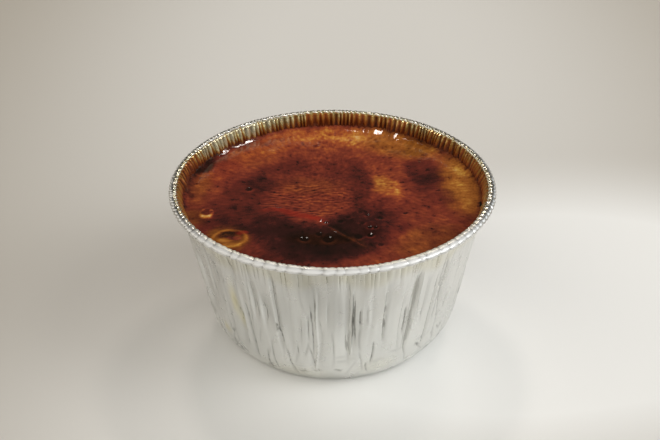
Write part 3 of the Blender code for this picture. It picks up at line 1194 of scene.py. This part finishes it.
def add_node(tree, kind, inputs, output=0, **settings):
    """Adds a node with its own settings, plugs its inputs, and returns one of its outputs."""
    node = tree.nodes.new("ShaderNode" + kind)
    for name, value in settings.items():
        setattr(node, name, value)
    plug(node, inputs)
    return node.outputs[output]


def new_material(name):
    """An empty node material with its Principled shader."""
    material = bpy.data.materials.new(name)
    material.use_nodes = True
    tree = material.node_tree
    return material, tree, tree.nodes["Principled BSDF"]


def millimetres(tree, scale=(1.0, 1.0, 1.0)):
    """Object coordinates in millimetres, so that every pattern's scale is one over its real size."""
    inputs = {0: add_node(tree, "TexCoord", {}, "Object"), 1: tuple(share / MM for share in scale)}
    return add_node(tree, "VectorMath", inputs, operation="MULTIPLY")


def painted(tree, *names):
    """The numbers that paint stored on the mesh under these names."""
    return [add_node(tree, "Attribute", {}, "Fac", attribute_name=name) for name in names]


def ramp(tree, value, first, stops, last):
    """Colour from a first one at 0 through the stops to a last one at 1."""
    colour = add_node(tree, "ValToRGB", {"Fac": value}, "Color")
    elements = colour.node.color_ramp.elements
    elements[0].color = (*first, 1.0)
    elements[1].color = (*last, 1.0)
    for position, code in stops:
        elements.new(position).color = (*linear(code), 1.0)
    return colour


# Burnt sugar on foil, from a thin gold film to a thick brown coat: place on the ramp and colour. Thick sugar
# hides the metal. What a crease's shadow multiplies the colour by, and how much of that a full crease gets
SUGAR_FILM = ((0.26, "#E4DAA8"), (0.48, "#B98E48"), (0.74, "#A05822"))
THICK_SUGAR = "#6E3419"
FILM_TO_METAL = {"From Min": 0.15, "From Max": 0.85, "To Min": 1.0, "To Max": 0.25}
CREASE_SHADOW = "#716F6A"
CREASE_SHARE = 0.48

# How much less metallic and how much rougher a pale place is
PALE_METALLIC = -0.72
PALE_ROUGHNESS = 0.12

# Foil: sizes in mm of its hazy patches, of its fine upright lines across them and of its dimples. How much
# the lines are drawn out up the wall, how deep the dimples are against them, and the bump's depth
HAZE_SIZE = 4.0
LINE_SIZE = 0.9
DIMPLE_SIZE = 1.6
LINE_STRETCH = 0.12
DIMPLE_SHARE = 0.35
FOIL_BUMP = 0.10 * MM


def aluminium_foil(settings, name, haze, bump_strength):
    """Cold-rolled aluminium foil: bright, hazier where it was pressed harder, with fine upright lines.

    Sugar on it hides the metal, and a pale place is pressed so finely that it scatters most of the light.
    """
    material, tree, shader = new_material(name)
    place = millimetres(tree)
    film, crease, pale = painted(tree, "film", "crease", "pale")
    tint = ramp(tree, film, settings.metal, SUGAR_FILM, linear(THICK_SUGAR))
    # Painted shade from the crease attribute: creases, hollows, wrinkles, the band under the rim, the front,
    # the rim's lines
    shade = add_node(tree, "Math", {0: crease, 1: CREASE_SHARE}, operation="MULTIPLY")
    inputs = {"Factor": shade, "A": tint, "B": (*linear(CREASE_SHADOW), 1.0)}
    colour = add_node(tree, "Mix", inputs, 2, data_type="RGBA", blend_type="MULTIPLY")

    bare = add_node(tree, "MapRange", {"Value": film, **FILM_TO_METAL})
    fine = add_node(tree, "Math", {0: pale, 1: PALE_METALLIC, 2: 1.0}, operation="MULTIPLY_ADD")
    metallic = add_node(tree, "Math", {0: bare, 1: fine}, operation="MULTIPLY")
    dull = add_node(tree, "TexNoise", {"Vector": place, "Scale": 1 / HAZE_SIZE, "Detail": 3.0})
    inputs = {"Value": dull, "From Min": 0.3, "From Max": 0.7, "To Min": haze[0], "To Max": haze[1]}
    rough = add_node(tree, "MapRange", inputs)
    rough = add_node(tree, "Math", {0: pale, 1: PALE_ROUGHNESS, 2: rough}, operation="MULTIPLY_ADD")

    upright = millimetres(tree, (1.0, 1.0, LINE_STRETCH))
    inputs = {"Vector": upright, "Scale": 1 / LINE_SIZE, "Detail": 3.0, "Roughness": 0.55}
    lines = add_node(tree, "TexNoise", inputs)
    dimples = add_node(tree, "TexNoise", {"Vector": place, "Scale": 1 / DIMPLE_SIZE})
    height = add_node(tree, "Math", {0: dimples, 1: DIMPLE_SHARE, 2: lines}, operation="MULTIPLY_ADD")
    bump = add_node(tree, "Bump", {"Height": height, "Strength": bump_strength, "Distance": FOIL_BUMP})
    plug(shader, {"Base Color": colour, "Metallic": metallic, "Roughness": rough, "Normal": bump})
    return material


# Browning of the creme's top: x and y in mm, half width and half depth in mm, turn in degrees, softness of
# the edge as a share, and how much browner (above 0) or paler (below 0) it makes the sugar
BROWNING = (
    (-3.0, -22.5, 14.5, 8.5, 0, 1.0, 0.22),
    (-3.0, -23.5, 9.5, 6.0, 0, 0.9, 0.13),
    (7.0, -12.4, 8.5, 6.0, 35, 0.9, 0.18),
    (-19.0, -12.4, 12.5, 6.0, -20, 1.0, 0.16),
    (7.5, 3.1, 3.2, 11.0, 0, 0.9, 0.11),
    (24.5, 12.6, 5.0, 8.0, 8, 0.8, 0.20),
    (-21.0, 3.1, 6.0, 9.0, -15, 1.0, 0.12),
    (-19.0, 7.6, 3.5, 3.5, 0, 0.9, 0.08),
    (-12.5, 17.6, 6.0, 5.0, 20, 0.9, 0.10),
    (3.0, 15.1, 5.5, 8.0, 0, 1.0, 0.07),
    (-31.0, -2.9, 6.0, 5.0, 0, 1.0, 0.05),
    (2.0, 36.0, 24.0, 5.0, 0, 1.0, -0.17),
    (4.0, 30.0, 32.0, 10.0, 0, 1.0, -0.07),
    (10.0, 26.1, 18.0, 6.0, -12, 1.0, -0.05),
    (3.5, 30.5, 7.0, 3.6, 0, 1.0, -0.10),
    (-12.5, 30.0, 4.5, 3.0, 15, 1.0, -0.09),
    (-25.0, -20.5, 9.0, 6.5, 0, 1.0, 0.06),
    (15.0, -13.0, 5.0, 5.0, 0, 1.0, 0.05),
    (-21.0, 21.6, 9.0, 6.5, 40, 0.9, -0.11),
    (-35.0, 7.0, 6.0, 11.0, -8, 1.0, -0.10),
    (35.0, 5.0, 4.5, 17.0, 0, 1.0, -0.06),
    (30.0, -0.5, 2.6, 3.0, 0, 1.0, 0.10),
    (19.5, 15.5, 7.0, 5.0, 0, 1.0, -0.09),
    (0.5, -12.2, 4.0, 3.2, 0, 1.0, 0.12),
    (-12.0, -7.4, 4.5, 2.8, -20, 1.0, 0.08),
    (-30.0, -12.3, 3.6, 2.6, 0, 1.0, 0.09),
    (-18.0, -15.0, 5.0, 4.5, 0, 1.0, 0.06),
    (11.6, -19.5, 4.0, 4.0, 0, 1.0, 0.12),
    (26.0, -10.5, 5.5, 5.5, 0, 1.0, -0.06),
    (10.0, -30.0, 7.0, 3.5, 15, 1.0, -0.10),
    (-12.0, -30.5, 5.0, 3.0, -20, 1.0, 0.11),
    (14.2, 5.6, 3.8, 6.8, 14, 0.8, -0.23),
    (17.5, 1.6, 2.8, 4.5, 20, 0.9, -0.09),
    (35.0, 5.1, 5.0, 13.0, 0, 0.9, -0.15),
    (30.5, 18.5, 5.0, 8.0, 35, 0.9, -0.10),
    (-6.3, -1.8, 12.6, 9.8, -6, 0.25, -0.03),
    (-7.6, -8.6, 5.4, 1.7, -32, 0.7, 0.01),
    (19.0, -23.0, 7.0, 5.0, 30, 1.0, -0.07),
    (-34.6, 16.2, 1.5, 4.2, -27, 1.1, 0.26),
    (-37.6, 1.0, 1.0, 2.6, 0, 1.0, 0.16),
    (38.7, -5.0, 1.1, 1.9, 0, 0.6, 0.42),
)

# Where the sugar looks golden and not red, in the same terms
GOLDEN = (
    (35.0, 6.0, 6.0, 17.0, 5, 0.9, 0.80),
    (19.0, 30.5, 11.0, 8.0, -32, 1.0, 0.75),
    (25.0, 26.5, 4.5, 4.5, 0, 0.9, 0.50),
    (13.0, 6.6, 2.6, 5.0, 0, 0.9, 0.45),
    (-36.0, 8.0, 4.0, 10.0, 0, 0.9, 0.35),
    (-23.0, 23.0, 9.0, 6.0, 40, 1.0, 0.10),
    (24.0, -22.0, 9.0, 7.0, 35, 0.9, 0.40),
    (-26.0, -20.0, 6.0, 6.0, 0, 0.5, 0.90),
    (-36.0, -10.0, 4.0, 4.0, 0, 0.9, 0.60),
    (-6.0, 6.0, 9.0, 4.0, 0, 0.9, 0.20),
    (-3.5, -20.6, 7.0, 2.6, 0, 0.9, 0.65),
    (3.6, -19.6, 6.4, 1.5, -45, 0.9, 0.55),
)

# Where the skin is deep red, in the same terms but below zero
DEEP_RED = (
    (-7.6, -8.6, 5.6, 1.9, -32, 0.9, -0.9),
    (14.0, -12.0, 4.0, 9.0, 15, 1.0, -0.35),
    (-27.0, 13.0, 5.0, 6.0, 30, 1.0, -0.3),
    (18.0, 1.0, 2.5, 4.0, 20, 1.0, -0.5),
    (-25.0, -19.9, 1.8, 1.0, -10, 0.9, -0.8),
)

# Where the skin is scarlet, in the same terms, as shares of the way to its colour
SCARLET = (
    (-8.6, -8.8, 6.6, 1.2, -27, 1.2, 0.52),
    (-4.2, -11.0, 2.6, 1.0, -30, 1.2, 0.30),
    (-15.5, -6.2, 3.0, 1.0, 5, 1.2, 0.30),
    (-22.6, -17.6, 1.6, 0.8, 0, 1.0, 0.45),
)

# Where the top is less glossy, in the same terms but below zero
LESS_GLOSSY = (
    (-30.8, 13.5, 4.3, 7.0, -27, 0.8, -0.75),
    (18.0, 25.0, 9.0, 5.0, -30, 1.0, -0.50),
    (23.0, 30.5, 5.5, 2.6, -50, 0.8, -0.60),
    (-17.5, 25.5, 10.0, 3.0, 32, 0.8, -0.60),
    (-4.0, 31.5, 9.0, 3.0, 5, 1.0, -0.40),
    (23.2, 29.3, 4.4, 1.4, -32, 0.6, -0.35),
    (-25.0, 18.6, 4.5, 2.4, 42, 0.9, -0.45),
    (-24.0, 24.0, 11.0, 2.0, 38, 0.7, -0.45),
    (-2.5, -20.6, 8.5, 2.4, 0, 0.6, -0.72),
    (10.0, -17.0, 2.4, 4.0, 0, 0.6, -0.60),
)

# The two burst blisters: a broken pale ring and a brown crater, with painted shadow at the crater's far edge,
# painted light at its near edge and a few painted highlights
BLISTER_RINGS = (
    (-25.8, -19.8, 6.4, 5.0, 0, 0.9, -0.04),
    (-25.6, -20.2, 4.6, 4.4, 0, 0.25, -0.27),
    (-25.6, -20.1, 3.8, 3.6, 0, 0.3, 0.20),
    (-25.5, -18.9, 3.1, 1.8, 0, 0.5, 0.20),
    (-25.4, -17.5, 3.3, 0.5, -6, 0.9, 0.12),
    (-26.9, -20.8, 1.6, 1.1, 10, 0.9, -0.20),
    (-23.8, -19.7, 1.0, 0.9, 0, 0.9, -0.20),
    (-25.0, -23.2, 2.8, 0.9, -4, 0.9, -0.14),
    (-32.3, -8.2, 1.8, 2.3, 0, 0.5, -0.18),
    (-32.3, -7.8, 1.3, 1.5, 0, 0.6, 0.20),
    (-32.2, -9.9, 1.3, 0.8, -5, 1.2, -0.36),
    (-33.4, -9.1, 0.6, 0.7, 0, 1.2, -0.22),
    (-31.1, -9.2, 0.6, 0.7, 0, 1.2, -0.22),
    (-31.2, -7.2, 0.5, 0.5, 0, 0.7, -0.25),
    (-33.2, -6.8, 0.4, 0.4, 0, 0.7, -0.20),
)

# Colours of browning sugar from torn skin to burnt, where it is red and where it is golden
RED_SUGAR = ((0.18, "#CB8A3C"), (0.35, "#A8552C"), (0.50, "#873B28"), (0.65, "#662A21"), (0.82, "#3B1C18"))
GOLD_SUGAR = ((0.18, "#CE9C42"), (0.35, "#AA6A2C"), (0.50, "#8A5220"), (0.65, "#67361A"), (0.82, "#3A2012"))


# The skin: browning between the patches. Its clouds and its grain, each as size in mm, detail, how much less
# they vary browner places, and how much they vary where nothing is browned
BROWNING_BASE = 0.598
CLOUDS = (4.5, 5.0, -0.75, 1.00)
GRAIN = (1.1, 3.0, -0.90, 0.92)

# Dark specks: size in mm, and which values of their noise they take and how dark they get. Then how much
# browner the corner at the foil is, how much the painted light of ripples, bubbles and folds lightens the skin
# (and their painted shade darkens it), and how golden the skin is by itself
SPECK_SIZE = 2.2
SPECKS = {"From Min": 0.60, "From Max": 0.78, "To Max": 0.16}
CORNER_BROWN = 0.22
PAINTED_LIGHT_BROWN = -0.10
GOLDEN_BASE = 0.05

# How ragged the edges of the patches, of the blisters and of the scarlet are: size and reach in mm
PATCHES_RAGGED = (7.0, 7.0)
BLISTERS_RAGGED = (2.2, 1.0)
SCARLET_RAGGED = (2.4, 2.2)
SCARLET_SUGAR = "#992C1D"

# Fine bumps that soften the gloss: size in mm and depth
FINE_SIZE = 0.9
FINE_BUMP = 0.06 * MM


def soft_patch(tree, place, patch):
    """One inside an oval patch and nothing outside, with a soft edge, times the patch's amount."""
    x, y, half_width, half_depth, turn, softness, amount = patch
    inputs = {
        "Vector": place,
        "Location": (x, y, 0.0),
        "Rotation": (0.0, 0.0, math.radians(turn)),
        "Scale": (half_width, half_depth, 1.0),
    }
    local = add_node(tree, "Mapping", inputs, vector_type="TEXTURE")
    away = add_node(tree, "VectorMath", {0: local}, "Value", operation="LENGTH")
    inputs = {"Value": away, "From Min": 1.0 + softness / 2, "From Max": 1.0 - softness / 2, "To Max": amount}
    return add_node(tree, "MapRange", inputs, interpolation_type="SMOOTHSTEP")


def all_patches(tree, place, patches, start):
    """The start value and every patch added up."""
    total = start
    for patch in patches:
        total = add_node(tree, "Math", {0: soft_patch(tree, place, patch), 1: total}, operation="ADD")
    return total


def warped(tree, place, size, reach):
    """The place pushed about by noise of a size in mm, so that what is drawn on it gets ragged edges."""
    inputs = {"Vector": place, "Scale": 1 / size, "Detail": 4.0, "Roughness": 0.6}
    push = add_node(tree, "TexNoise", inputs, "Color")
    offset = add_node(tree, "VectorMath", {0: push, 1: (-0.5, -0.5, -0.5)}, operation="ADD")
    inputs = {0: offset, 1: (reach, reach, 0.0), 2: place}
    return add_node(tree, "VectorMath", inputs, operation="MULTIPLY_ADD")


def vary(tree, value, pattern, amount):
    """Moves a value up and down by a pattern whose middle is one half."""
    off = add_node(tree, "Math", {0: pattern, 1: 0.5}, operation="SUBTRACT")
    return add_node(tree, "Math", {0: off, 1: amount, 2: value}, operation="MULTIPLY_ADD")


def caramelised_skin(settings):
    """Burnt sugar over baked custard: a deep, clear, wet skin whose colour goes from gold to nearly black."""
    material, tree, shader = new_material("caramelised_custard_skin")
    place = millimetres(tree, (1.0, 1.0, 0.0))
    corner, painted_sheen_shade = painted(tree, "corner", "painted_sheen_shade")
    ragged = warped(tree, place, *PATCHES_RAGGED)
    browning = all_patches(tree, ragged, BROWNING, BROWNING_BASE)
    for size, detail, less, most in (CLOUDS, GRAIN):
        inputs = {"Vector": place, "Scale": 1 / size, "Detail": detail, "Roughness": 0.65}
        grain = add_node(tree, "TexNoise", inputs)
        amount = add_node(tree, "Math", {0: browning, 1: less, 2: most}, operation="MULTIPLY_ADD")
        browning = vary(tree, browning, grain, amount)
    speckle = add_node(tree, "TexNoise", {"Vector": place, "Scale": 1 / SPECK_SIZE, "Roughness": 0.6})
    specks = add_node(tree, "MapRange", {"Value": speckle, **SPECKS}, interpolation_type="SMOOTHSTEP")
    # The corner's browning, and the painted sheen and painted shade of the small forms, go in here
    for darker, share in ((specks, 1.0), (corner, CORNER_BROWN), (painted_sheen_shade, PAINTED_LIGHT_BROWN)):
        browning = add_node(tree, "Math", {0: darker, 1: share, 2: browning}, operation="MULTIPLY_ADD")
    # The blisters' rings, with their painted shadow and painted light
    browning = all_patches(tree, warped(tree, place, *BLISTERS_RAGGED), BLISTER_RINGS, browning)
    golden = vary(tree, all_patches(tree, ragged, GOLDEN + DEEP_RED, GOLDEN_BASE), grain, 0.5)

    red_sugar = ramp(tree, browning, settings.custard, RED_SUGAR, settings.burnt)
    gold_sugar = ramp(tree, browning, settings.custard, GOLD_SUGAR, settings.burnt)
    inputs = {"Factor": golden, "A": red_sugar, "B": gold_sugar}
    colour = add_node(tree, "Mix", inputs, 2, data_type="RGBA")
    scarlet = all_patches(tree, warped(tree, place, *SCARLET_RAGGED), SCARLET, 0.0)
    inputs = {"Factor": scarlet, "A": colour, "B": (*linear(SCARLET_SUGAR), 1.0)}
    colour = add_node(tree, "Mix", inputs, 2, data_type="RGBA")
    fine = add_node(tree, "TexNoise", {"Vector": place, "Scale": 1 / FINE_SIZE, "Detail": 3.0})
    bump = add_node(tree, "Bump", {"Height": fine, "Strength": 0.4, "Distance": FINE_BUMP})
    look = {
        "Base Color": colour,
        "Roughness": 0.5,
        "Specular IOR Level": 0.0,
        "Coat Weight": all_patches(tree, place, LESS_GLOSSY, 1.0),
        "Coat Roughness": 0.045,
        "Coat IOR": 1.5,
        "Normal": bump,
        "Coat Normal": bump,
    }
    plug(shader, look)
    return material


# The floor's paper: its colour under the full painted pool of light, and where that painted light whitens it,
# in the same terms
LIT_PAPER = "#F7F7F3"
PAPER_LIGHT_POOLS = (
    (85.0, 5.0, 85.0, 53.0, 0, 1.4, 0.95),
    (12.0, 150.0, 112.0, 250.0, 0, 1.4, 0.53),
    (-18.0, -58.0, 72.0, 70.0, 0, 1.4, 0.30),
)


def pale_paper(settings):
    """Matte paper laid over a table, with a painted pool of light that whitens it at the right, behind and in
    front.
    """
    material, tree, shader = new_material("matte_paper_floor")
    paper_light = all_patches(tree, millimetres(tree, (1.0, 1.0, 0.0)), PAPER_LIGHT_POOLS, 0.0)
    inputs = {"Factor": paper_light, "A": (*settings.floor, 1.0), "B": (*linear(LIT_PAPER), 1.0)}
    colour = add_node(tree, "Mix", inputs, 2, data_type="RGBA")
    plug(shader, {"Base Color": colour, "Roughness": 0.6})
    return material


# ---------------------------------------------------------------- stage

# The floor, and the sweep up at its edge: its height, how much wider it gets, and one step's turn in degrees
FLOOR_RADIUS = 3.0
SWEEP_HEIGHT = 0.7
SWEEP_GROWTH = 0.12
SWEEP_STEP = 15

# Where the room is dim: how high its middle is, where it starts and ends as angles from there, and how dim
DIM_ELEVATION = math.radians(48)
DIM_REACH = (math.radians(38), math.radians(58))
DIM_SHARE = 0.03

# The room's light at the left and at the right, and the lamps'
WARM_ROOM = "#ECE5DB"
COOL_ROOM = "#F5F9FD"
LAMP_COLOUR = "#FFF4EC"

# Where the camera looks, from how far and how high, its roll and its lens
CAMERA_TARGET = Vector((-0.68 * MM, 0.0, 0.72 * CUP_HEIGHT))
CAMERA_DISTANCE = 330 * MM
CAMERA_ELEVATION = math.radians(31.5)
CAMERA_ROLL = math.radians(-0.35)
LENS_MM = 68.0


def make_floor(settings):
    """A round pale floor whose far edge sweeps up, so that no horizon shows."""
    start_clean()
    bpy.ops.mesh.primitive_circle_add(vertices=96, radius=FLOOR_RADIUS, fill_type="NGON", location=(0, 0, 0))
    obj = settle("floor")
    bpy.ops.object.mode_set(mode="EDIT")
    bpy.ops.mesh.select_mode(type="EDGE")
    bpy.ops.mesh.select_all(action="SELECT")
    bpy.ops.mesh.select_mode(type="FACE")
    bpy.ops.mesh.inset(thickness=0.02)
    edit_border()
    for turn in range(SWEEP_STEP, 91, SWEEP_STEP):
        new, old = math.radians(turn), math.radians(turn - SWEEP_STEP)
        lift = SWEEP_HEIGHT * (math.cos(old) - math.cos(new))
        grow = 1 + SWEEP_GROWTH * (math.sin(new) - math.sin(old))
        bpy.ops.mesh.extrude_region_move(TRANSFORM_OT_translate={"value": (0.0, 0.0, lift)})
        bpy.ops.transform.resize(value=(grow, grow, 1.0), center_override=(0.0, 0.0, 0.0))
    bpy.ops.object.mode_set(mode="OBJECT")
    bpy.ops.object.shade_smooth()
    obj.data.materials.append(pale_paper(settings))


def add_light(name, location, size, power, colour):
    """A rectangular lamp that faces the middle of the cup's rim."""
    turn = (Vector((0.0, 0.0, CUP_HEIGHT)) - Vector(location)).to_track_quat("-Z", "Y").to_euler()
    bpy.ops.object.light_add(type="AREA", location=location, rotation=turn)
    lamp = bpy.context.object
    lamp.name = name
    lamp.data.shape = "RECTANGLE"
    lamp.data.size, lamp.data.size_y = size
    lamp.data.energy = power
    lamp.data.color = linear(colour)


def make_camera():
    """A camera at the front that looks down over the cup's rim."""
    back = Vector((0.0, -math.cos(CAMERA_ELEVATION), math.sin(CAMERA_ELEVATION)))
    location = CAMERA_TARGET + back * CAMERA_DISTANCE
    bpy.ops.object.camera_add(location=location)
    camera = bpy.context.object
    camera.name = "camera"
    camera.data.lens = LENS_MM
    camera.data.sensor_width = 36.0
    turn = Matrix.Rotation(math.pi / 2 - CAMERA_ELEVATION, 4, "X") @ Matrix.Rotation(CAMERA_ROLL, 4, "Z")
    camera.matrix_world = Matrix.Translation(location) @ turn
    camera.data.clip_start = 0.01
    camera.data.clip_end = 20.0
    bpy.context.scene.camera = camera


def make_world(settings):
    """A bright room that is dim behind the cup and over it, where the glossy top mirrors it."""
    world = bpy.data.worlds.new("bright_room")
    bpy.context.scene.world = world
    world.use_nodes = True
    tree = world.node_tree
    heading = add_node(tree, "TexCoord", {}, "Generated")
    dim_middle = Vector((0.0, math.cos(DIM_ELEVATION), math.sin(DIM_ELEVATION)))
    facing = add_node(tree, "VectorMath", {0: heading, 1: dim_middle}, "Value", operation="DOT_PRODUCT")
    inputs = {
        "Value": facing,
        "From Min": math.cos(DIM_REACH[1]),
        "From Max": math.cos(DIM_REACH[0]),
        "To Min": settings.room_strength,
        "To Max": settings.room_strength * DIM_SHARE,
    }
    strength = add_node(tree, "MapRange", inputs, interpolation_type="SMOOTHSTEP")
    across = add_node(tree, "SeparateXYZ", {"Vector": heading}, "X")
    share = add_node(tree, "MapRange", {"Value": across, "From Min": -1.0, "From Max": 1.0})
    inputs = {"Factor": share, "A": (*linear(WARM_ROOM), 1.0), "B": (*linear(COOL_ROOM), 1.0)}
    colour = add_node(tree, "Mix", inputs, 2, data_type="RGBA")
    plug(tree.nodes["Background"], {"Color": colour, "Strength": strength})


# ---------------------------------------------------------------- operators


class CREME_OT_foil_wall(bpy.types.Operator):
    """Spin the cup's section, fold its wall into creases and dress it in foil"""

    bl_idname = "creme_brulee.foil_wall"
    bl_label = "Foil Wall"
    bl_options = {"REGISTER", "UNDO"}

    def execute(self, context):
        settings = context.scene.creme_brulee_foil
        material = aluminium_foil(settings, "pressed_aluminium_foil", (0.17, 0.30), 0.45)
        dress(make_wall(settings), material, "foil", "foil_cup")
        return {"FINISHED"}


class CREME_OT_rolled_rim(bpy.types.Operator):
    """Roll the rim's curl and press its crimps"""

    bl_idname = "creme_brulee.rolled_rim"
    bl_label = "Rolled Rim"
    bl_options = {"REGISTER", "UNDO"}

    def execute(self, context):
        settings = context.scene.creme_brulee_foil
        material = aluminium_foil(settings, "crimped_aluminium_foil", (0.20, 0.32), 0.8)
        dress(make_rim(settings), material, "foil", "foil_cup")
        return {"FINISHED"}


class CREME_OT_creme(bpy.types.Operator):
    """Shape the creme with its blisters and bubbles, and caramelise its top"""

    bl_idname = "creme_brulee.creme"
    bl_label = "Creme"
    bl_options = {"REGISTER", "UNDO"}

    def execute(self, context):
        settings = context.scene.creme_brulee_creme
        obj = make_creme(settings, context.scene.creme_brulee_foil)
        dress(obj, caramelised_skin(settings), "creme", "creme")
        return {"FINISHED"}


class CREME_OT_stage(bpy.types.Operator):
    """Set the floor, the lights, the room and the camera"""

    bl_idname = "creme_brulee.stage"
    bl_label = "Stage"
    bl_options = {"REGISTER", "UNDO"}

    def execute(self, context):
        settings = context.scene.creme_brulee_stage
        make_floor(settings)
        make_world(settings)
        add_light("side_panel", (1.5, -0.35, 1.25), (0.9, 0.9), settings.panel_power, "#FFFFFF")
        add_light("long_lamp", (0.395, 0.675, 1.086), (0.24, 0.07), 1.6 * settings.lamp_power, LAMP_COLOUR)
        add_light("square_lamp", (-0.165, 0.708, 1.134), (0.17, 0.15), 1.7 * settings.lamp_power, LAMP_COLOUR)
        make_camera()
        context.scene.view_settings.view_transform = "Standard"
        return {"FINISHED"}


class CREME_PT_panel(bpy.types.Panel):
    """The pieces of the creme brulee, in the order they are made"""

    bl_idname = "CREME_PT_panel"
    bl_label = "Creme Brulee"
    bl_space_type = "VIEW_3D"
    bl_region_type = "UI"
    bl_category = "Creme Brulee"

    def draw(self, context):
        scene = context.scene
        for title, settings, operators in (
            ("Foil cup", scene.creme_brulee_foil, ("foil_wall", "rolled_rim")),
            ("Creme", scene.creme_brulee_creme, ("creme",)),
            ("Stage", scene.creme_brulee_stage, ("stage",)),
        ):
            box = self.layout.box()
            box.label(text=title)
            for name in settings.bl_rna.properties.keys():
                if name not in ("rna_type", "name"):
                    box.prop(settings, name)
            for operator in operators:
                box.operator("creme_brulee." + operator)


CLASSES = (
    FoilSettings,
    CremeSettings,
    StageSettings,
    CREME_OT_foil_wall,
    CREME_OT_rolled_rim,
    CREME_OT_creme,
    CREME_OT_stage,
    CREME_PT_panel,
)


def register():
    for cls in CLASSES:
        bpy.utils.register_class(cls)
    bpy.types.Scene.creme_brulee_foil = bpy.props.PointerProperty(type=FoilSettings)
    bpy.types.Scene.creme_brulee_creme = bpy.props.PointerProperty(type=CremeSettings)
    bpy.types.Scene.creme_brulee_stage = bpy.props.PointerProperty(type=StageSettings)


def unregister():
    del bpy.types.Scene.creme_brulee_stage
    del bpy.types.Scene.creme_brulee_creme
    del bpy.types.Scene.creme_brulee_foil
    for cls in reversed(CLASSES):
        bpy.utils.unregister_class(cls)


def main():
    register()
    bpy.ops.creme_brulee.foil_wall()
    bpy.ops.creme_brulee.rolled_rim()
    bpy.ops.creme_brulee.creme()
    bpy.ops.creme_brulee.stage()
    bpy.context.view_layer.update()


if __name__ == "__main__":
    main()
